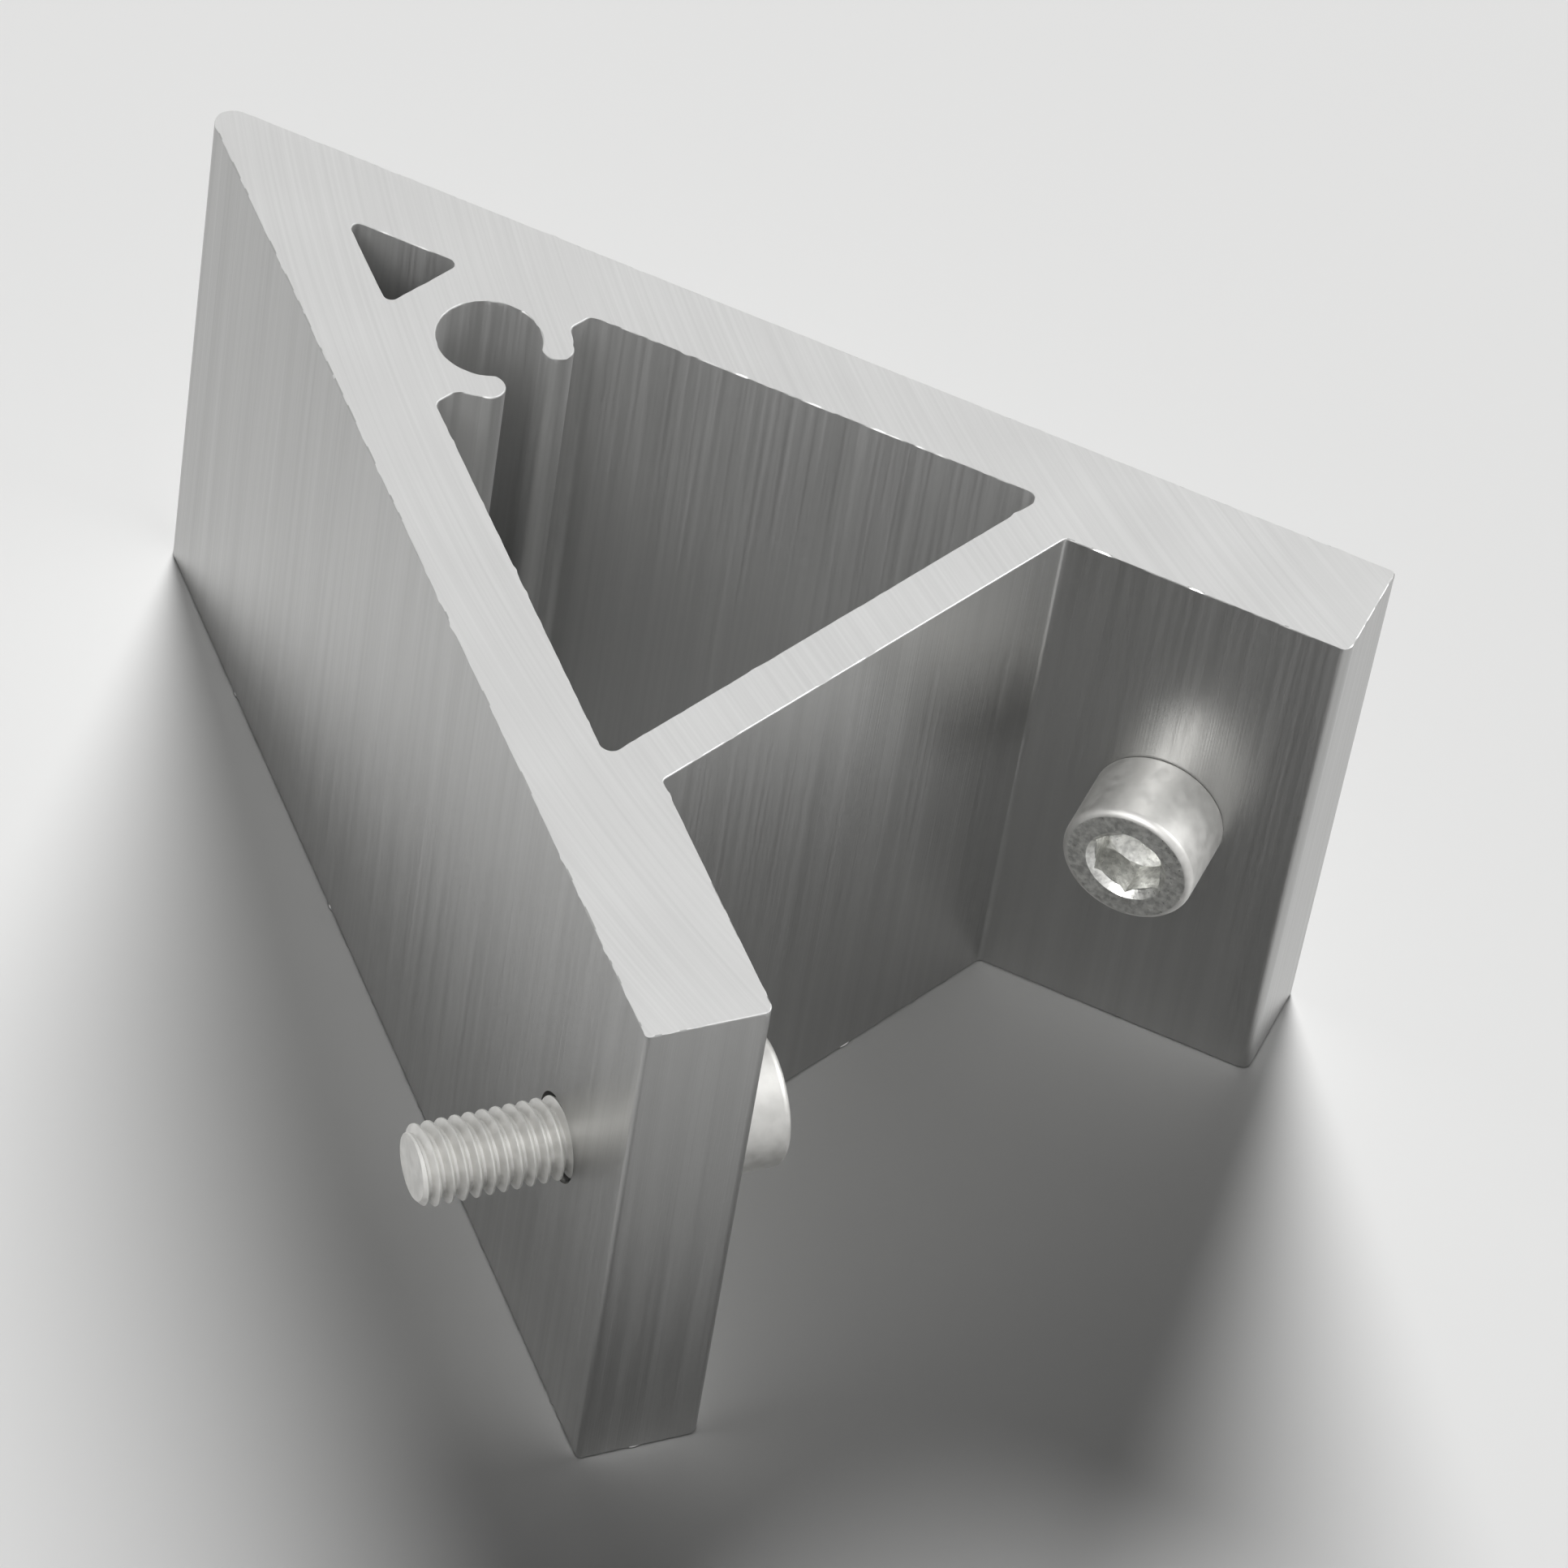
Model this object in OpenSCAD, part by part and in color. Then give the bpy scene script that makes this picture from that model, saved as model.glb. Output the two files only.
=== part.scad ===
// Angle brace for slotted profiles: one sawn length of extruded section, fixed by a socket screw through each flange.
// The section is symmetric about the X axis and is extruded along Z. It stands on one sawn face, at Z = 0.
// The origin lies on the axis of the screw port, at the lower sawn face.

/* [Flanges] */
// Length of each flange, from the line where the two outer faces would meet to the flange's end
leg_len = 96; // [90:1:140]
// Angle between the two outer faces
brace_angle = 45; // [43:1:60]
// Sawn length of the extrusion, which is the width of the profile face it sits on
brace_w = 45; // [20:1:120]
// Thickness of a flange beyond the web, where the screw clamps it
flange_t = 9.3; // [7:0.1:11]
// Thickness of a flange beside the cell and the core
wall_t = 6.25; // [5:0.05:7]
// Length of a flange beyond the web
stub_len = 22; // [18:0.5:30]
// Radius on the nose, where the outer faces meet
nose_r = 1.5; // [0.5:0.1:3]
// Radius on the inner corner of a flange's end
end_inner_r = 0.8; // [0.2:0.1:2]
// Radius on the outer corner of a flange's end
end_outer_r = 0.4; // [0.2:0.1:1.5]

/* [Web and cell] */
// Thickness of the web across the open end of the cell
web_t = 4; // [2.5:0.1:8]
// Fillet where the web's outer face meets a flange
web_r = 0.5; // [0.2:0.1:2]
// Radius in the corners of the cell
cell_r = 0.8; // [0.3:0.1:1.2]
// Radius in the corners of the small triangular core
core_r = 0.6; // [0.2:0.1:0.8]

/* [Screw port] */
// Distance of the port's axis from the line where the outer faces would meet
port_at = 32.1; // [31.5:0.1:36]
// Diameter of the screw port
port_d = 7.8; // [6:0.1:8.4]
// Thickness of the wall between the core and the port
bridge_t = 3.2; // [2:0.1:5]
// Distance of the cell's front wall from the port's axis
front_at = 2.7; // [2:0.1:3.2]
// Thickness of the two lips that close round the port
lip_t = 2.2; // [1.5:0.1:2.5]
// Angle from the X axis at which the rounded end of each lip sits
lip_angle = 42; // [38:1:44]
// How far the rounded end of each lip stands out past the lip's two faces
lip_bead = 0.1; // [0.05:0.05:0.2]
// Fillet at the root of each lip
lip_root_r = 0.8; // [0.3:0.1:1]

/* [Screws] */
// Nominal diameter of the thread
thread_d = 6; // [5:0.5:6]
// Length of a screw under its head
screw_len = 20; // [16:1:30]
// Diameter of the screw inside the flange
grip_d = 5.35; // [4.4:0.05:5.6]
// Length of the chamfer at the screw's tip
tip_len = 0.6; // [0.2:0.1:1]
// Diameter of the screw head
head_d = 10.2; // [9.5:0.1:12]
// Height of the screw head
head_h = 6.4; // [5:0.1:8]
// Radius round the rim of the head
rim_r = 0.6; // [0.2:0.1:1.2]
// Width across the flats of the hexagon socket
socket_af = 5; // [4:0.5:6]
// Depth of the hexagon socket
socket_depth = 3; // [2:0.1:4]
// Turn of the socket about the screw's axis, from a corner that points along the flange
socket_turn = 36; // [0:1:60]
// Width of the chamfer round the mouth of the socket
socket_chamfer = 0.25; // [0.1:0.05:0.4]
// Clearance of the screw in its hole, on the diameter
hole_clearance = 0.6; // [0.4:0.1:1]

/* [Hidden] */
$fn = 96;
eps = 0.5;
// Arcs in corners are this much over the radius that would just touch the sides, so they cut them at a clear point
arc_over = 0.002;
half_angle = brace_angle / 2;
port_r = port_d / 2;
hole_d = thread_d + hole_clearance;
hole_at = leg_len - stub_len / 2;
socket_corner_d = socket_af / cos(30);
socket_floor = socket_af / 2 * tan(30);

// Point at distance u along a flange and v inwards from its outer face
function on_flange(u, v) = [
    u * cos(half_angle) + v * sin(half_angle),
    u * sin(half_angle) - v * cos(half_angle)
];
// Half width at x of the wedge whose sides lie a wall's thickness inside the outer faces
wedge_tip = wall_t / sin(half_angle);
function wedge_y(x) = (x - wedge_tip) * tan(half_angle);
function flipped(p) = [p.x, -p.y];

end_outer = on_flange(leg_len, 0);
end_inner = on_flange(leg_len, flange_t);
web_corner = on_flange(leg_len - stub_len, flange_t);
core_back = port_at - port_r - bridge_t;
cell_front = port_at + front_at;
cell_back = web_corner.x - web_t;
lip_outer_r = port_r + lip_t;
lip_mid_r = port_r + lip_t / 2;

function unit(p) = p / norm(p);
// Turn at corner p on the way from a to b: positive to the left
function turn(a, p, b) = cross(p - a, b - p);

// Corner p between a and b, seen from the centre of its arc: the centre, the point where the arc meets one side,
// the corner and the point on the other side, the last three moved out a little past the sides
function corner_kite(a, p, b, r) =
    let (
        to_a = unit(a - p),
        to_b = unit(b - p),
        half = acos(to_a * to_b) / 2,
        run = r / tan(half),
        centre = p + unit(to_a + to_b) * r / sin(half),
        reach = (r + eps) / r
    )
    [
        centre,
        centre + (p + to_a * run - centre) * reach,
        centre + (p - centre) * reach,
        centre + (p + to_b * run - centre) * reach
    ];

// What an arc of radius r leaves of the corner p, from the arc outwards
module corner_rest(a, p, b, r) {
    kite = corner_kite(a, p, b, r);
    difference() {
        polygon(kite);
        translate(kite[0]) circle(r + arc_over);
    }
}

// Outline with each corner rounded by its own radius; points run to the left round the outline. Rounding takes the
// rest of a corner that turns left away, and adds it at a corner that turns right
module rounded(points, radii) {
    n = len(points);
    before = [for (i = [0 : n - 1]) points[(i + n - 1) % n]];
    after = [for (i = [0 : n - 1]) points[(i + 1) % n]];
    difference() {
        polygon(points);
        for (i = [0 : n - 1])
            if (radii[i] > 0 && turn(before[i], points[i], after[i]) > 0)
                corner_rest(before[i], points[i], after[i], radii[i]);
    }
    for (i = [0 : n - 1])
        if (radii[i] > 0 && turn(before[i], points[i], after[i]) < 0)
            corner_rest(after[i], points[i], before[i], radii[i]);
}

// Outer outline: two flanges from the nose to their ends, closed behind by the web
module outline() {
    rounded(
        [[0, 0], flipped(end_outer), flipped(end_inner), flipped(web_corner), web_corner, end_inner, end_outer],
        [nose_r, end_outer_r, end_inner_r, web_r, web_r, end_inner_r, end_outer_r]
    );
}

// Small triangular core between the nose and the port
module core() {
    rounded(
        [[wedge_tip, 0], [core_back, -wedge_y(core_back)], [core_back, wedge_y(core_back)]],
        [core_r, core_r, core_r]
    );
}

// Large cell between the port and the web
module cell() {
    rounded(
        [
            [cell_front, -wedge_y(cell_front)], [cell_back, -wedge_y(cell_back)],
            [cell_back, wedge_y(cell_back)], [cell_front, wedge_y(cell_front)]
        ],
        [cell_r, cell_r, cell_r, cell_r]
    );
}

// One lip, drawn about the port's axis: an arc of the port's wall that stands into the cell, with a bead at its end
// and a fillet at its root
module lip() {
    inside = front_at - eps;
    root_x = front_at + lip_root_r;
    root = [root_x, sqrt(pow(lip_outer_r + lip_root_r, 2) - pow(root_x, 2))];
    root_end = unit(root) * (lip_outer_r - eps);
    intersection() {
        circle(lip_outer_r);
        polygon([
            inside * [1, tan(lip_angle)],
            2 * lip_outer_r * [cos(lip_angle), sin(lip_angle)],
            [inside, 2 * lip_outer_r]
        ]);
    }
    rotate(lip_angle) translate([lip_mid_r, 0]) circle(lip_t / 2 + lip_bead);
    difference() {
        polygon([root, [inside, root.y], [inside, root_end.y], root_end]);
        translate(root) circle(lip_root_r + arc_over);
    }
}

// Extruded section, from the nose onwards
module section() {
    difference() {
        union() {
            difference() {
                outline();
                core();
                cell();
            }
            translate([port_at, 0]) {
                lip();
                mirror([0, 1]) lip();
            }
        }
        translate([port_at, 0]) circle(port_r);
    }
}

// Puts a child at the seat of each screw, with +Z pointing out through the flange
module at_screw_seats() {
    translate([-port_at, 0, brace_w / 2])
        for (side = [0, 1])
            mirror([0, side, 0]) rotate(-half_angle) translate([hole_at, flange_t, 0]) rotate([90, 0, 0]) children();
}

module brace() {
    color([0.84, 0.84, 0.83])
    difference() {
        translate([-port_at, 0, 0]) linear_extrude(brace_w) section();
        at_screw_seats() translate([0, 0, -eps]) cylinder(d = hole_d, h = flange_t + 2 * eps);
    }
}

// Socket head cap screw, with its head's seat at Z = 0 and its thread towards +Z
module socket_screw() {
    difference() {
        union() {
            rotate_extrude()
                rounded(
                    [[0, -head_h], [head_d / 2, -head_h], [head_d / 2, 0], [0, 0]],
                    [0, rim_r, 0, 0]
                );
            cylinder(d = grip_d, h = flange_t);
            translate([0, 0, flange_t]) cylinder(d = thread_d, h = screw_len - flange_t - tip_len);
            translate([0, 0, screw_len - tip_len])
                cylinder(d1 = thread_d, d2 = thread_d - 2 * tip_len, h = tip_len);
        }
        translate([0, 0, -head_h - eps])
            rotate(socket_turn) cylinder(d = socket_corner_d, h = socket_depth + eps, $fn = 6);
        translate([0, 0, socket_depth - head_h]) cylinder(d1 = socket_af, d2 = 0, h = socket_floor);
        translate([0, 0, -head_h])
            cylinder(d1 = socket_corner_d + 2 * socket_chamfer, d2 = socket_corner_d, h = socket_chamfer);
    }
}

module socket_screws() {
    color([0.78, 0.77, 0.72]) at_screw_seats() socket_screw();
}

brace();
socket_screws();
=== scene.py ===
import math

import bmesh
import bpy
from mathutils import Euler, Matrix, Vector, noise


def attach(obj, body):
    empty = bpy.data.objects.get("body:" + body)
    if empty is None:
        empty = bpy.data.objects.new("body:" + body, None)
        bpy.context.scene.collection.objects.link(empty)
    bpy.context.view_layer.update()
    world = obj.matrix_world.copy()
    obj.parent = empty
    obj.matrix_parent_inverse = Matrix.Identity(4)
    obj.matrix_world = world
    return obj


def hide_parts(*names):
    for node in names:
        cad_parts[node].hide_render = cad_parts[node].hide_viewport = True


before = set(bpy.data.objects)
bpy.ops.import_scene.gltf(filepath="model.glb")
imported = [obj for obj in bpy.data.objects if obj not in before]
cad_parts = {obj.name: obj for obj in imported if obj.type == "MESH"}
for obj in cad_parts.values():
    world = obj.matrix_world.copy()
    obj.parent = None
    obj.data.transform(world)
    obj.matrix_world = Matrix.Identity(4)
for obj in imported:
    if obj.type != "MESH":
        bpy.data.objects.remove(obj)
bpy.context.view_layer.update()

# The bar. The brace is one sawn length of aluminium, extruded through a die: two thick flanges that meet
# at a rounded nose, and a web across them. It starts as a solid block, sawn along the outer faces of the
# flanges and square across their ends.
MM = 0.001
HAIR = 0.0001 * MM
SAME_SPOT = 0.001 * MM
NEARBY = 0.1 * MM
HALF_ANGLE = math.radians(22.5)
NOSE_X = -32.1 * MM
FLANGE_LENGTH = 96 * MM
BRACE_WIDTH = 45 * MM
NOSE_RADIUS = 1.5 * MM
SIDE_ALLOWANCE = 1 * MM
END_ALLOWANCE = 40 * MM


def on_flange(along, inwards, side, height=0.0):
    """Point along a flange and inwards from its outer face; side is 1 for the +Y flange, -1 for the other."""
    sine, cosine = math.sin(HALF_ANGLE), math.cos(HALF_ANGLE)
    across = along * sine - inwards * cosine
    return Vector((NOSE_X + along * cosine + inwards * sine, side * across, height))


def flange_outwards(side):
    return Vector((-math.sin(HALF_ANGLE), side * math.cos(HALF_ANGLE), 0))


def flange_run(side):
    return Vector((math.cos(HALF_ANGLE), side * math.sin(HALF_ANGLE), 0))


def pick(piece):
    """Makes a piece the active one and the only one that is selected."""
    bpy.ops.object.select_all(action="DESELECT")
    bpy.context.view_layer.objects.active = piece
    piece.select_set(True)


def edit(piece, mode="EDGE"):
    """Opens a piece in edit mode with nothing selected, and gives its mesh."""
    pick(piece)
    bpy.ops.object.mode_set(mode="EDIT")
    bpy.ops.mesh.select_mode(type=mode)
    bpy.ops.mesh.select_all(action="DESELECT")
    return bmesh.from_edit_mesh(piece.data)


def fix_place(piece, name):
    """Puts a new piece's place and turn into its mesh, and names it."""
    pick(piece)
    bpy.ops.object.transform_apply(location=True, rotation=True, scale=True)
    piece.name = name
    return piece


def block(name, low, high):
    """Block between two corners."""
    low, high = Vector(low), Vector(high)
    bpy.ops.object.select_all(action="DESELECT")
    bpy.ops.mesh.primitive_cube_add(size=1, location=(low + high) / 2, scale=high - low)
    return fix_place(bpy.context.object, name)


def saw_off(piece, point, outwards):
    """Saws a piece along a plane and drops the side that outwards points to."""
    edit(piece)
    bpy.ops.mesh.select_all(action="SELECT")
    bpy.ops.mesh.bisect(
        plane_co=point, plane_no=outwards, use_fill=True, clear_outer=True, threshold=HAIR
    )
    bpy.ops.object.mode_set(mode="OBJECT")


def round_upright(piece, radius, near=None, segments=8):
    """Rounds the upright edges of a section: each of them, or the one at the point near."""
    corners = []
    mesh = edit(piece)
    for edge in mesh.edges:
        foot, head = (v.co.xy for v in edge.verts)
        if (foot - head).length < SAME_SPOT:
            if near is None or (foot - near.xy).length < NEARBY:
                corners.append(foot)
    bpy.ops.object.mode_set(mode="OBJECT")
    for corner in corners:
        mesh = edit(piece)
        turn = 0.0
        for edge in mesh.edges:
            if all((v.co.xy - corner).length < SAME_SPOT for v in edge.verts):
                edge.select_set(True)
                turn = edge.calc_face_angle()
        # The profile value at which a bevel of this turn is an arc of a circle
        roundness = (1 - 0.5 / (1 + math.cos(turn / 2))) ** 2
        bpy.ops.mesh.bevel(
            offset=radius * math.tan(turn / 2), segments=segments, profile=roundness, affect="EDGES"
        )
        bpy.ops.object.mode_set(mode="OBJECT")


far_end = on_flange(FLANGE_LENGTH, 0, 1)
brace = block(
    "brace_extrusion",
    (NOSE_X - SIDE_ALLOWANCE, -far_end.y - SIDE_ALLOWANCE, 0),
    (far_end.x + END_ALLOWANCE, far_end.y + SIDE_ALLOWANCE, BRACE_WIDTH),
)
for side in (1, -1):
    saw_off(brace, on_flange(0, 0, side), flange_outwards(side))
    saw_off(brace, on_flange(FLANGE_LENGTH, 0, side), flange_run(side))
round_upright(brace, NOSE_RADIUS, Vector((NOSE_X, 0, 0)), segments=12)

# The recess between the flange ends, open to the front, where a key reaches the screws. Its sides are the
# faces that the screw heads clamp and its back is the web. The die leaves a small fillet where they meet,
# and rounds the corners of the flange ends.
FLANGE_THICKNESS = 9.3 * MM
STUB_LENGTH = 22 * MM
WEB_FILLET = 0.5 * MM
END_OUTER_RADIUS = 0.4 * MM
END_INNER_RADIUS = 0.8 * MM
RECESS_ALLOWANCE = 50 * MM
OVERCUT = 3 * MM


def combine(piece, tool, operation):
    """Cuts a tool out of a piece or welds it on, and uses the tool up."""
    pick(piece)
    change = piece.modifiers.new("change", "BOOLEAN")
    change.operation, change.solver, change.object = operation, "EXACT", tool
    bpy.ops.object.modifier_apply(modifier=change.name)
    bpy.data.objects.remove(tool)


web_corner = on_flange(FLANGE_LENGTH - STUB_LENGTH, FLANGE_THICKNESS, 1)
recess = block(
    "recess",
    (web_corner.x, -far_end.y, -OVERCUT),
    (far_end.x + RECESS_ALLOWANCE, far_end.y, BRACE_WIDTH + OVERCUT),
)
for side in (1, -1):
    saw_off(recess, on_flange(0, FLANGE_THICKNESS, side), flange_outwards(side))
for side in (1, -1):
    foot_of_web = on_flange(FLANGE_LENGTH - STUB_LENGTH, FLANGE_THICKNESS, side)
    round_upright(recess, WEB_FILLET, foot_of_web, segments=5)
combine(brace, recess, "DIFFERENCE")
for side in (1, -1):
    outer_corner = on_flange(FLANGE_LENGTH, 0, side)
    inner_corner = on_flange(FLANGE_LENGTH, FLANGE_THICKNESS, side)
    round_upright(brace, END_OUTER_RADIUS, outer_corner, segments=6)
    round_upright(brace, END_INNER_RADIUS, inner_corner)

# The lips of the screw port: two bars that curve round the port from the cell's front wall, each with a
# rounded bead at its end and a fillet at its root. They are part of the extrusion: the mandrel that leaves
# the cell open has their shape cut into it, so they are made first, as tools.
PORT_RADIUS = 3.9 * MM
LIP_THICKNESS = 2.2 * MM
LIP_OVERLAP = 0.5 * MM
LIP_BEAD_RADIUS = 1.2 * MM
LIP_END_ANGLE = math.radians(42)
LIP_ROOT_ANGLE = math.radians(72)
LIP_FILLET = 0.8 * MM
FILLET_OVERLAP = 0.6 * MM
FILLER_SPARE = 1 * MM
CELL_FRONT = 2.7 * MM


def round_bar(name, radius, start, end, vertices=96):
    """Bar of round section from one point to another."""
    start, end = Vector(start), Vector(end)
    bpy.ops.object.select_all(action="DESELECT")
    bpy.ops.mesh.primitive_cylinder_add(
        vertices=vertices, radius=radius, depth=(end - start).length, location=(start + end) / 2,
        rotation=(end - start).to_track_quat("Z", "Y").to_euler(),
    )
    return fix_place(bpy.context.object, name)


def turn_faces_out(piece):
    edit(piece)
    bpy.ops.mesh.select_all(action="SELECT")
    bpy.ops.mesh.normals_make_consistent(inside=False)
    bpy.ops.object.mode_set(mode="OBJECT")


def curved_bar(side):
    """The lip without its bead and fillet: a flat strip, swept round the port's axis."""
    inner, outer = PORT_RADIUS - LIP_OVERLAP, PORT_RADIUS + LIP_THICKNESS
    middle = (inner + outer) / 2
    strip_at = Vector((math.cos(LIP_ROOT_ANGLE), side * math.sin(LIP_ROOT_ANGLE), 0)) * middle
    strip_at.z = BRACE_WIDTH / 2
    bpy.ops.object.select_all(action="DESELECT")
    bpy.ops.mesh.primitive_plane_add(
        size=1, rotation=(math.pi / 2, 0, side * LIP_ROOT_ANGLE), location=strip_at
    )
    strip = bpy.context.object
    strip.scale = (outer - inner, BRACE_WIDTH + 4 * OVERCUT, 1)
    fix_place(strip, "lip")
    edit(strip, "FACE")
    bpy.ops.mesh.select_all(action="SELECT")
    sweep = side * (LIP_ROOT_ANGLE - LIP_END_ANGLE)
    bpy.ops.mesh.spin(steps=10, angle=sweep, center=(0, 0, 0), axis=(0, 0, 1))
    bpy.ops.mesh.select_all(action="SELECT")
    bpy.ops.mesh.remove_doubles(threshold=HAIR)
    bpy.ops.object.mode_set(mode="OBJECT")
    turn_faces_out(strip)
    return strip


def make_lip(side):
    """Each part is a little shorter than the one that it joins, so that no two ends lie in one plane."""
    lip = curved_bar(side)
    up, down = Vector((0, 0, BRACE_WIDTH + 3 * OVERCUT)), Vector((0, 0, -3 * OVERCUT))
    end = Vector((math.cos(LIP_END_ANGLE), side * math.sin(LIP_END_ANGLE), 0))
    end *= PORT_RADIUS + LIP_THICKNESS / 2
    combine(lip, round_bar("bead", LIP_BEAD_RADIUS, end + down, end + up, vertices=48), "UNION")

    outer = PORT_RADIUS + LIP_THICKNESS
    root_x = CELL_FRONT + LIP_FILLET
    root_y = math.sqrt((outer + LIP_FILLET) ** 2 - root_x ** 2)
    filler_tip = Vector((root_x, root_y, 0)).normalized() * (outer - FILLET_OVERLAP)
    low_y, high_y = sorted((side * filler_tip.y, side * root_y))
    filler = block(
        "filler",
        (CELL_FRONT - FILLER_SPARE, low_y, -2.5 * OVERCUT),
        (filler_tip.x + FILLER_SPARE, high_y, BRACE_WIDTH + 2.5 * OVERCUT),
    )
    root = Vector((root_x, side * root_y, 0))
    saw_off(filler, root, (root_y, -side * root_x, 0))
    cutter = round_bar("fillet", LIP_FILLET, root + down, root + up, vertices=48)
    combine(filler, cutter, "DIFFERENCE")
    combine(lip, filler, "UNION")
    return lip


# The hollows, which mandrels in the die leave open from end to end: a small triangular core behind the
# nose, the large cell between the port and the web, and the round port, which takes a self-cutting screw
# from either end.
WALL_THICKNESS = 6.25 * MM
WEB_THICKNESS = 4 * MM
CORE_BACK = -7.1 * MM
CORE_RADIUS = 0.6 * MM
CELL_RADIUS = 0.8 * MM
CORE_REACH = 20 * MM
CELL_REACH = 40 * MM
above = BRACE_WIDTH + OVERCUT
core = block("core", (NOSE_X, -CORE_REACH, -OVERCUT), (CORE_BACK, CORE_REACH, above))
cell_back = web_corner.x - WEB_THICKNESS
cell = block("cell", (CELL_FRONT, -CELL_REACH, -OVERCUT), (cell_back, CELL_REACH, above))
for hollow, corner_radius in ((core, CORE_RADIUS), (cell, CELL_RADIUS)):
    for side in (1, -1):
        saw_off(hollow, on_flange(0, WALL_THICKNESS, side), flange_outwards(side))
    round_upright(hollow, corner_radius)
for side in (1, -1):
    combine(cell, make_lip(side), "DIFFERENCE")
combine(brace, core, "DIFFERENCE")
combine(brace, cell, "DIFFERENCE")
combine(brace, round_bar("port", PORT_RADIUS, (0, 0, -OVERCUT), (0, 0, above)), "DIFFERENCE")

# The holes for the screws, one in each flange end. They are drilled square through the aluminium, in the
# middle of the stub beyond the web and halfway up, with clearance for an M6 screw.
HOLE_RADIUS = 3.3 * MM
for side in (1, -1):
    mouth = on_flange(FLANGE_LENGTH - STUB_LENGTH / 2, 0, side, BRACE_WIDTH / 2)
    out = flange_outwards(side)
    inner_end = mouth - out * (FLANGE_THICKNESS + OVERCUT)
    drill = round_bar("drill", HOLE_RADIUS, inner_end, mouth + out * OVERCUT, vertices=64)
    combine(brace, drill, "DIFFERENCE")

# The sawn ends. A fine blade leaves the rims crisp, with a thread of burr that wanders a few hundredths of
# a millimetre, and more in places. The rims are cut into short lengths, broken to a narrow edge and then
# moved by that burr; a line round the walls near each end keeps the cuts out of the long faces.
RIM_BREAK = 0.1 * MM
RIM_BAND = 0.45 * MM
RIM_STEP = 0.5 * MM
BURR = 0.4 * MM
BURR_SPACING = 1 / 900
BURR_SEED = 13
edit(brace)
for height in (RIM_BAND, BRACE_WIDTH - RIM_BAND):
    bpy.ops.mesh.select_all(action="SELECT")
    bpy.ops.mesh.bisect(plane_co=(0, 0, height), plane_no=(0, 0, 1), threshold=HAIR)
bpy.ops.object.mode_set(mode="OBJECT")


def rim_edges(mesh, longer_than):
    """Edges between a sawn end and a wall."""
    for edge in mesh.edges:
        a, b = (v.co.z for v in edge.verts)
        on_end = abs(a - b) < HAIR and (a < HAIR or a > BRACE_WIDTH - HAIR)
        is_sharp = edge.calc_face_angle(0) > math.radians(60)
        if on_end and is_sharp and edge.calc_length() > longer_than:
            yield edge


while True:
    mesh = edit(brace)
    too_long = list(rim_edges(mesh, RIM_STEP))
    for edge in too_long:
        edge.select_set(True)
    if too_long:
        bpy.ops.mesh.subdivide(number_cuts=1)
    bpy.ops.object.mode_set(mode="OBJECT")
    if not too_long:
        break
mesh = edit(brace)
for edge in rim_edges(mesh, 0):
    edge.select_set(True)
bpy.ops.mesh.bevel(offset=RIM_BREAK, segments=2, affect="EDGES")
bpy.ops.object.mode_set(mode="OBJECT")
turn_faces_out(brace)
noise.seed_set(BURR_SEED)
mesh = edit(brace, "VERT")
for corner in mesh.verts:
    from_end = min(corner.co.z, BRACE_WIDTH - corner.co.z)
    if from_end < RIM_BREAK / 2 and any(abs(face.normal.z) < 0.9 for face in corner.link_faces):
        # Cubed, so that most of the rim stays crisp and only some places stand out
        wander = noise.noise_vector(corner.co / BURR_SPACING)
        corner.co += Vector((wander.x ** 3, wander.y ** 3, 0)) * BURR
bmesh.update_edit_mesh(brace.data)
bpy.ops.object.mode_set(mode="OBJECT")


def smooth_flats(piece, angle):
    """Shades arcs smooth and keeps flat faces flat up to their edges."""
    pick(piece)
    bpy.ops.object.shade_smooth_by_angle(angle=math.radians(angle))
    even = piece.modifiers.new("even", "WEIGHTED_NORMAL")
    even.keep_sharp = True
    bpy.ops.object.modifier_apply(modifier=even.name)


smooth_flats(brace, 20)

# The finishes of the bare aluminium. The outer walls and the recess have the fine streaks that the die draws
# along them, and their tone is darker than the sawn ends, partly as a mill finish is and partly as painted
# shade for the dark surroundings that the recess reflects. The hollows are duller, and their paler tone is
# painted light that stands in for light reaching into them. The sawn ends have the shallow arcs of a large
# blade whose centre lay far out past the +Y flange.
STREAK_SPACING = 0.35 * MM
DIE_LINE_SPACING = 0.14 * MM
BAND_SPACING = 1.1 * MM
PORE_SPACING = 0.16 * MM
SAW_MARK_SPACING = 0.3 * MM
PATCH_SPACING = 9 * MM
BLADE_CENTRE = Vector((82, 162, 0)) * MM
SHADER = "Principled BSDF"


def wire(material, from_node, from_socket, to_node, to_socket):
    nodes, links = material.node_tree.nodes, material.node_tree.links
    links.new(nodes[from_node].outputs[from_socket], nodes[to_node].inputs[to_socket])


def start_finish(name, metallic, relief, depth):
    """Material on Object coordinates, with a bump of a strength and a depth, its pattern still open."""
    material = bpy.data.materials.new(name)
    material.use_nodes = True
    nodes = material.node_tree.nodes
    nodes[SHADER].inputs["Metallic"].default_value = metallic
    nodes.new("ShaderNodeTexCoord").name = "place"
    bump = nodes.new("ShaderNodeBump")
    bump.name = "bump"
    bump.inputs["Strength"].default_value = relief
    bump.inputs["Distance"].default_value = depth
    wire(material, "bump", "Normal", SHADER, "Normal")
    return material


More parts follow.
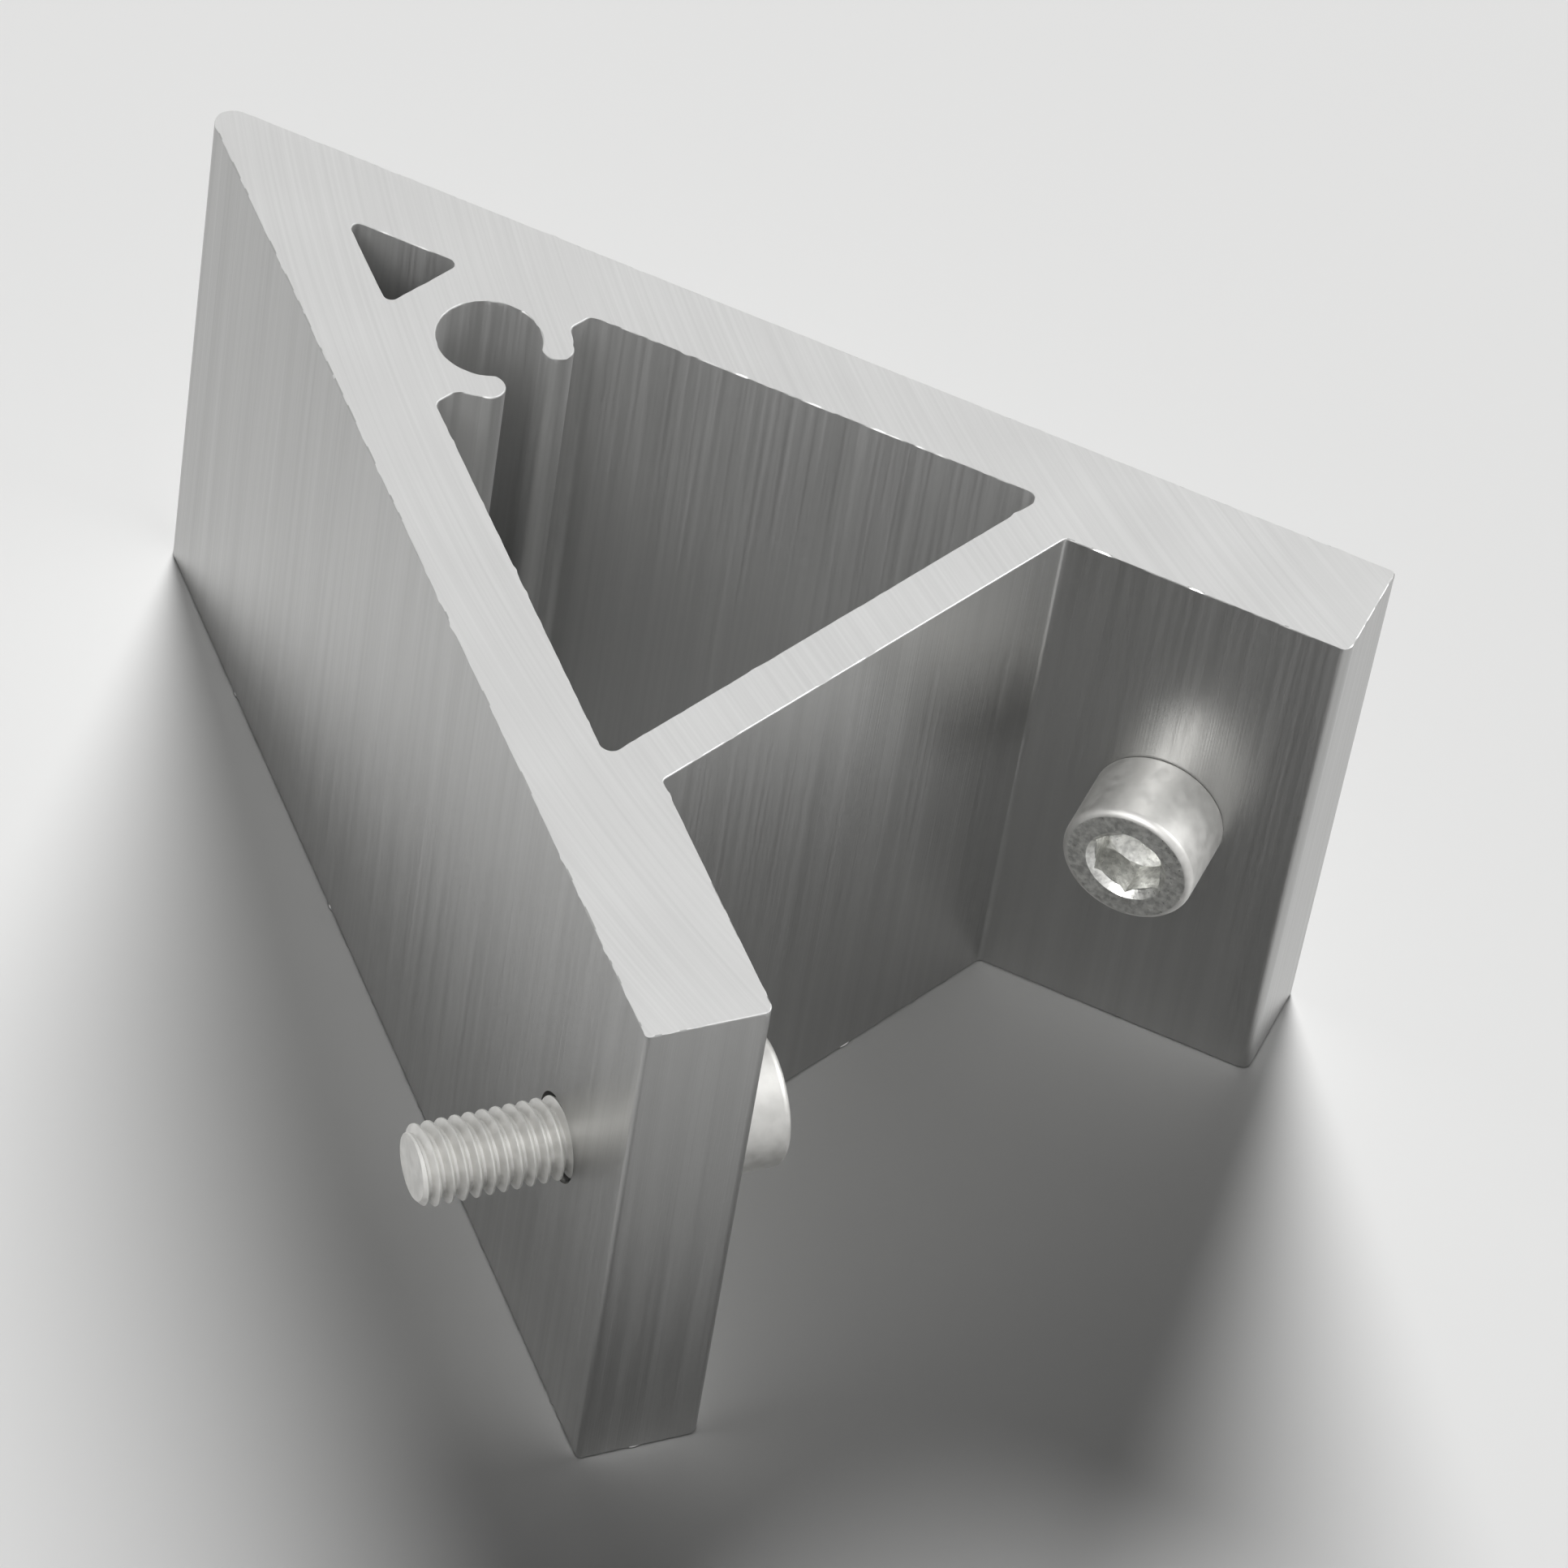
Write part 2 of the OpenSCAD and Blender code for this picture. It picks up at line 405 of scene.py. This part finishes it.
def add_noise(material, name, spacing, stretch=(1, 1, 1), detail=4, source=("place", "Object")):
    """Noise of a spacing in metres, drawn out along an axis by a small stretch value."""
    nodes = material.node_tree.nodes
    mapping = nodes.new("ShaderNodeMapping")
    mapping.name = name + "_scale"
    mapping.inputs["Scale"].default_value = [value / spacing for value in stretch]
    pattern = nodes.new("ShaderNodeTexNoise")
    pattern.name = name
    pattern.inputs["Scale"].default_value = 1
    pattern.inputs["Detail"].default_value = detail
    wire(material, *source, mapping.name, "Vector")
    wire(material, mapping.name, "Vector", name, "Vector")


def add_range(material, name, pattern, middle, to_low, to_high):
    """Turns the middle of a pattern's values into a range of its own."""
    node = material.node_tree.nodes.new("ShaderNodeMapRange")
    node.name = name
    node.inputs["From Min"].default_value, node.inputs["From Max"].default_value = middle
    node.inputs["To Min"].default_value, node.inputs["To Max"].default_value = to_low, to_high
    wire(material, pattern, "Fac", name, "Value")


def tint(material, pattern, light, dark, middle=(0.3, 0.7)):
    """Base colour that a pattern moves between a dark and a light tone."""
    add_range(material, "tone", pattern, middle, 0, 1)
    mix = material.node_tree.nodes.new("ShaderNodeMix")
    mix.data_type = "RGBA"
    mix.inputs["A"].default_value, mix.inputs["B"].default_value = (*dark, 1), (*light, 1)
    mix.name = "colour"
    wire(material, "tone", "Result", "colour", 0)
    links = material.node_tree.links
    links.new(mix.outputs["Result"], material.node_tree.nodes[SHADER].inputs["Base Color"])


def dull(material, pattern, smoothest, roughest):
    """Roughness that a pattern moves between two values."""
    add_range(material, "gloss", pattern, (0.3, 0.7), smoothest, roughest)
    wire(material, "gloss", "Result", SHADER, "Roughness")


def emboss(material, coarse, fine, share):
    """Height for the bump: one pattern, plus a share of a finer one."""
    height = material.node_tree.nodes.new("ShaderNodeMath")
    height.name = "height"
    height.operation = "MULTIPLY_ADD"
    height.inputs[1].default_value = share
    wire(material, fine, "Fac", "height", 0)
    wire(material, coarse, "Fac", "height", 2)
    wire(material, "height", "Value", "bump", "Height")


# Wall tone set dark: partly the mill finish's own grey, partly painted shade for the dark surroundings that
# the recess reflects
walls = start_finish("extruded_aluminium_walls_darkened_by_painted_shade", 0.88, 1, 0.012 * MM)
add_noise(walls, "streaks", STREAK_SPACING, (1, 1, 0.012), 1)
add_noise(walls, "die_lines", DIE_LINE_SPACING, (1, 1, 0.005), 1)
add_noise(walls, "bands", BAND_SPACING, (1, 1, 0.015), 2)
add_noise(walls, "pores", PORE_SPACING, (1, 1, 0.6), 2)
tint(walls, "bands", (0.51, 0.51, 0.505), (0.46, 0.46, 0.455))
dull(walls, "streaks", 0.31, 0.39)
emboss(walls, "die_lines", "pores", 0.1)

# Hollow tone set pale: painted light that stands in for the light reaching into the cell, core and port
hollows = start_finish("extruded_aluminium_hollows_painted_light", 0.85, 0.15, 0.01 * MM)
add_noise(hollows, "streaks", STREAK_SPACING, (1, 1, 0.012), 3)
add_noise(hollows, "pores", PORE_SPACING, (1, 1, 0.6), 2)
tint(hollows, "streaks", (0.71, 0.71, 0.705), (0.65, 0.65, 0.645))
dull(hollows, "streaks", 0.48, 0.58)
emboss(hollows, "streaks", "pores", 0.8)

sawn = start_finish("sawn_aluminium_ends", 0.85, 0.15, 0.006 * MM)
nodes = sawn.node_tree.nodes
nodes.new("ShaderNodeSeparateXYZ").name = "split"
nodes.new("ShaderNodeCombineXYZ").name = "level"
nodes.new("ShaderNodeCombineXYZ").name = "radius_and_run"
from_blade = nodes.new("ShaderNodeVectorMath")
from_blade.name = "from_blade"
from_blade.operation = "DISTANCE"
from_blade.inputs[1].default_value = BLADE_CENTRE
wire(sawn, "place", "Object", "split", "Vector")
wire(sawn, "split", "X", "level", "X")
wire(sawn, "split", "Y", "level", "Y")
wire(sawn, "level", "Vector", "from_blade", 0)
wire(sawn, "from_blade", "Value", "radius_and_run", "X")
wire(sawn, "split", "X", "radius_and_run", "Y")
wire(sawn, "split", "Z", "radius_and_run", "Z")
add_noise(sawn, "saw_marks", SAW_MARK_SPACING, (1, 0.01, 1), 3, ("radius_and_run", "Vector"))
add_noise(sawn, "patches", PATCH_SPACING, (1, 1, 1), 3)
tint(sawn, "saw_marks", (0.76, 0.76, 0.755), (0.7, 0.7, 0.695))
dull(sawn, "patches", 0.38, 0.5)
wire(sawn, "saw_marks", "Fac", "bump", "Height")

finishes = (walls, sawn, hollows)
brace.data.materials.clear()
for finish in finishes:
    brace.data.materials.append(finish)
for face in brace.data.polygons:
    side = 1 if face.center.y > 0 else -1
    inwards = (face.center - on_flange(0, 0, side)).dot(-flange_outwards(side))
    before_web = face.center.x < web_corner.x - WEB_THICKNESS / 2
    # Faces inside the hollows get the paler copy, which is painted light; the other walls get the darker
    # copy, which is partly painted shade
    finish = hollows if before_web and inwards > WALL_THICKNESS - RIM_BREAK else walls
    if abs(face.normal.z) > 0.9:
        finish = sawn
    face.material_index = finishes.index(finish)
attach(brace, "root")
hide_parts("brace")

# The socket screws: cold-headed steel, zinc plated and matte, M6 with a 10 mm head. One is made upright,
# with its head's seat at z = 0 and its thread upwards, and is then copied into the hole of each flange.
HEAD_RADIUS = 5.1 * MM
HEAD_HEIGHT = 6.4 * MM
HEAD_RIM_RADIUS = 0.6 * MM
SEAT_EDGE = 0.15 * MM
SOCKET_FLAT_RADIUS = 2.5 * MM
SOCKET_CORNER_RADIUS = SOCKET_FLAT_RADIUS / math.cos(math.radians(30))
SOCKET_DEPTH = 3 * MM
SOCKET_CHAMFER = 0.25 * MM
SOCKET_TURN = math.radians(36)
BROACH_SPARE = 1 * MM
FACETS = 96


def cone(name, low_radius, high_radius, low_z, high_z, vertices=FACETS):
    """Upright cone or prism between two heights."""
    bpy.ops.object.select_all(action="DESELECT")
    bpy.ops.mesh.primitive_cone_add(
        vertices=vertices, radius1=low_radius, radius2=high_radius, depth=high_z - low_z,
        location=(0, 0, (low_z + high_z) / 2),
    )
    return fix_place(bpy.context.object, name)


def level_edges(piece, low, high):
    """Opens a piece with its edges between two heights selected."""
    mesh = edit(piece)
    for edge in mesh.edges:
        edge.select_set(all(low < v.co.z < high for v in edge.verts))


screw = round_bar("screw_head", HEAD_RADIUS, (0, 0, -HEAD_HEIGHT), (0, 0, 0))
for height, radius, segments in ((-HEAD_HEIGHT, HEAD_RIM_RADIUS, 8), (0, SEAT_EDGE, 2)):
    level_edges(screw, height - HAIR, height + HAIR)
    bpy.ops.mesh.bevel(offset=radius, segments=segments, affect="EDGES")
    bpy.ops.object.mode_set(mode="OBJECT")
top = -HEAD_HEIGHT
bottom = top + SOCKET_DEPTH
point = bottom + SOCKET_FLAT_RADIUS * math.tan(math.radians(30))
combine(screw, cone("drill_point", SOCKET_FLAT_RADIUS, 0, bottom - SAME_SPOT, point), "DIFFERENCE")
broach = cone("broach", SOCKET_CORNER_RADIUS, SOCKET_CORNER_RADIUS, top - BROACH_SPARE, bottom, vertices=6)
broach.rotation_euler.z = -math.pi / 2 - SOCKET_TURN
combine(screw, fix_place(broach, "broach"), "DIFFERENCE")
countersink = cone(
    "countersink", SOCKET_CORNER_RADIUS + 2 * SOCKET_CHAMFER, SOCKET_CORNER_RADIUS - SOCKET_CHAMFER,
    top - SOCKET_CHAMFER, top + 2 * SOCKET_CHAMFER,
)
combine(screw, countersink, "DIFFERENCE")

# The thread, rolled into the same steel: one flat-crested ridge, swept up in a helix from inside the head
# to past the tip, and then trimmed to a blank with a chamfered tip.
SCREW_LENGTH = 20 * MM
THREAD_RADIUS = 3 * MM
CREST_RADIUS = 2.98 * MM
ROOT_RADIUS = 2.4 * MM
THREAD_PITCH = 1 * MM
THREAD_TURNS = 25
THREAD_START = -2 * MM
THREAD_STEPS = 48
POINT_SIZE = 0.01 * MM
THREAD_FOOT = -0.5 * MM
TIP_CHAMFER = 0.6 * MM
TIP_SPARE = 0.01 * MM
ridge = CREST_RADIUS - ROOT_RADIUS
flank = ridge * math.tan(math.radians(30))
crest = THREAD_PITCH / 8
root = THREAD_PITCH - crest - 2 * flank
bpy.ops.object.select_all(action="DESELECT")
bpy.ops.mesh.primitive_plane_add(size=POINT_SIZE, location=(ROOT_RADIUS, 0, THREAD_START))
thread = fix_place(bpy.context.object, "thread")
edit(thread, "VERT")
bpy.ops.mesh.select_all(action="SELECT")
bpy.ops.mesh.merge(type="CENTER")
for step in ((0, 0, root), (ridge, 0, flank), (0, 0, crest), (-ridge, 0, flank)):
    bpy.ops.mesh.extrude_region_move(TRANSFORM_OT_translate={"value": step})
bpy.ops.object.mode_set(mode="OBJECT")
helix = thread.modifiers.new("helix", "SCREW")
helix.axis, helix.angle, helix.screw_offset = "Z", 2 * math.pi, THREAD_PITCH
helix.iterations, helix.steps, helix.render_steps = THREAD_TURNS, THREAD_STEPS, THREAD_STEPS
helix.use_merge_vertices, helix.merge_threshold = True, SAME_SPOT
pick(thread)
bpy.ops.object.modifier_apply(modifier=helix.name)
edit(thread)
bpy.ops.mesh.select_all(action="SELECT")
bpy.ops.mesh.remove_doubles(threshold=SAME_SPOT)
bpy.ops.object.mode_set(mode="OBJECT")
saw_off(thread, (0, 0, THREAD_FOOT), (0, 0, -1))
saw_off(thread, (0, 0, SCREW_LENGTH), (0, 0, 1))
turn_faces_out(thread)
blank = round_bar("blank", THREAD_RADIUS, (0, 0, THREAD_START), (0, 0, SCREW_LENGTH + TIP_SPARE), FACETS)
level_edges(blank, SCREW_LENGTH, SCREW_LENGTH + 2 * TIP_SPARE)
bpy.ops.mesh.bevel(offset=TIP_CHAMFER, segments=1, affect="EDGES")
bpy.ops.object.mode_set(mode="OBJECT")
combine(thread, blank, "INTERSECT")
combine(screw, thread, "UNION")
smooth_flats(screw, 22)

# The screws' finish: dull zinc with a soft mottle. The front of the head and the socket, which the
# heading tools strike, are blotched and pitted. Each screw sits with its head on the flange's inner face,
# and the two sockets are turned as mirror images of each other.
ZINC_MOTTLE = 0.9 * MM
ZINC_GRAIN = 0.12 * MM
BLOTCH_SPACING = 0.5 * MM
PIT_SPACING = 0.2 * MM
FRONT_DEPTH = 0.01 * MM
zinc = start_finish("zinc_plated_steel", 0.95, 0.25, 0.01 * MM)
add_noise(zinc, "mottle", ZINC_MOTTLE, (1, 1, 1), 5)
add_noise(zinc, "grain", ZINC_GRAIN, (1, 1, 1), 2)
tint(zinc, "mottle", (0.75, 0.745, 0.725), (0.68, 0.675, 0.655), (0.35, 0.65))
dull(zinc, "mottle", 0.48, 0.6)
wire(zinc, "grain", "Fac", "bump", "Height")

punched = start_finish("zinc_plated_steel_punched_face", 0.9, 0.6, 0.04 * MM)
add_noise(punched, "blotches", BLOTCH_SPACING, (1, 1, 1), 4)
add_noise(punched, "pits", PIT_SPACING, (1, 1, 1), 3)
tint(punched, "blotches", (0.93, 0.93, 0.9), (0.56, 0.56, 0.54), (0.35, 0.65))
dull(punched, "pits", 0.25, 0.5)
emboss(punched, "blotches", "pits", 0.6)

finishes = (zinc, punched)
screw.data.materials.clear()
for finish in finishes:
    screw.data.materials.append(finish)
for face in screw.data.polygons:
    on_front = face.center.z < top + FRONT_DEPTH
    inside_rim = face.center.xy.length < HEAD_RADIUS - 2 * HEAD_RIM_RADIUS
    in_socket = inside_rim and face.center.z < THREAD_START
    face.material_index = finishes.index(punched if on_front or in_socket else zinc)

for side, name in ((1, "socket_screw_pos_y"), (-1, "socket_screw_neg_y")):
    fixed = screw.copy()
    fixed.data = screw.data.copy()
    bpy.context.collection.objects.link(fixed)
    seat = on_flange(FLANGE_LENGTH - STUB_LENGTH / 2, FLANGE_THICKNESS, side, BRACE_WIDTH / 2)
    half_turn, own_turn = (0, 0) if side > 0 else (math.pi, 2 * SOCKET_TURN)
    lie = Euler((-math.pi / 2, 0, side * HALF_ANGLE + half_turn)).to_matrix().to_4x4()
    fixed.matrix_world = Matrix.Translation(seat) @ lie @ Matrix.Rotation(own_turn, 4, "Z")
    fix_place(fixed, name)
    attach(fixed, "root")
    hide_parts("socket_screws")
bpy.data.objects.remove(screw)

# The floor under the brace: plain pale card, matte, and wide enough to run out to the horizon. It lies a
# hair below the sawn end and takes the brace's shadow.
FLOOR_WIDTH = 6.0
FLOOR_GAP = 0.05 * MM
bpy.ops.object.select_all(action="DESELECT")
bpy.ops.mesh.primitive_plane_add(size=FLOOR_WIDTH, location=(0, 0, -FLOOR_GAP))
floor = fix_place(bpy.context.object, "floor")
card = bpy.data.materials.new("pale_card")
card.use_nodes = True
card_shader = card.node_tree.nodes[SHADER]
card_shader.inputs["Base Color"].default_value = (0.8, 0.8, 0.795, 1)
card_shader.inputs["Roughness"].default_value = 0.9
card_shader.inputs["Specular IOR Level"].default_value = 0.1
floor.data.materials.append(card)

# The light. A broad, distant lamp behind on the left lights the brace and the floor evenly. Two small
# lamps, seen only in reflections, give the metal its highlights. The sky is pale to the camera and in
# reflections, and otherwise only a weak fill.
SKY = 0.78
FILL = 0.07
KEY_STRENGTH = 5.15
KEY_DISTANCE = 2
KEY_SPREAD = math.radians(28)
HIGHLIGHT_STRENGTH = 1.8
HIGHLIGHT_WIDTH = 0.25
HIGHLIGHT_DISTANCE = 0.6
MIDDLE = Vector((0.015, 0, 0.022))
world = bpy.data.worlds.new("studio")
bpy.context.scene.world = world
world.use_nodes = True
nodes, links = world.node_tree.nodes, world.node_tree.links
path = nodes.new("ShaderNodeLightPath")
seen = nodes.new("ShaderNodeMath")
seen.operation = "MAXIMUM"
links.new(path.outputs["Is Camera Ray"], seen.inputs[0])
links.new(path.outputs["Is Glossy Ray"], seen.inputs[1])
through = nodes.new("ShaderNodeMath")
through.operation = "MAXIMUM"
links.new(seen.outputs[0], through.inputs[0])
links.new(path.outputs["Is Transmission Ray"], through.inputs[1])
strength = nodes.new("ShaderNodeMapRange")
strength.inputs["To Min"].default_value, strength.inputs["To Max"].default_value = FILL, SKY
links.new(through.outputs[0], strength.inputs["Value"])
links.new(strength.outputs["Result"], nodes["Background"].inputs["Strength"])
nodes["Background"].inputs["Color"].default_value = (1, 1, 0.995, 1)


def hang_lamp(name, kind, azimuth, elevation, distance, strength):
    """Lamp that looks at the brace from a direction; azimuth 0 is +X and 90 is +Y."""
    turn, rise = math.radians(azimuth), math.radians(elevation)
    level = math.cos(rise)
    towards = Vector((math.cos(turn) * level, math.sin(turn) * level, math.sin(rise)))
    lamp = bpy.data.objects.new(name, bpy.data.lights.new(name, kind))
    lamp.data.energy = strength
    lamp.location = towards * distance + MIDDLE
    lamp.rotation_euler = towards.to_track_quat("Z", "Y").to_euler()
    bpy.context.collection.objects.link(lamp)
    return lamp


key = hang_lamp("key", "SUN", 135, 32, KEY_DISTANCE, KEY_STRENGTH)
key.data.angle = KEY_SPREAD
key.visible_glossy = False
for name, azimuth, elevation in (("right", 50, 40), ("front", -75, 42)):
    highlight = hang_lamp(name, "AREA", azimuth, elevation, HIGHLIGHT_DISTANCE, HIGHLIGHT_STRENGTH)
    highlight.data.size = HIGHLIGHT_WIDTH
    highlight.visible_diffuse = False

# The camera, set at the angle from which the brace was photographed. It looks down at it from in front
# and to the right, from about 0.6 m away, through a long lens.
CAMERA_PLACE = (0.29470719, -0.31752061, 0.45316628)
CAMERA_TURN = (43.51123, -6.96383, 46.63006)
FOCAL_LENGTH = 188.991
FILM_WIDTH = 36
lens = bpy.data.cameras.new("camera")
lens.lens, lens.sensor_width = FOCAL_LENGTH, FILM_WIDTH
lens.clip_start, lens.clip_end = 0.01, 20
camera = bpy.data.objects.new("camera", lens)
camera.location = CAMERA_PLACE
camera.rotation_euler = [math.radians(angle) for angle in CAMERA_TURN]
bpy.context.collection.objects.link(camera)
bpy.context.scene.camera = camera
bpy.context.scene.view_settings.view_transform = "Standard"
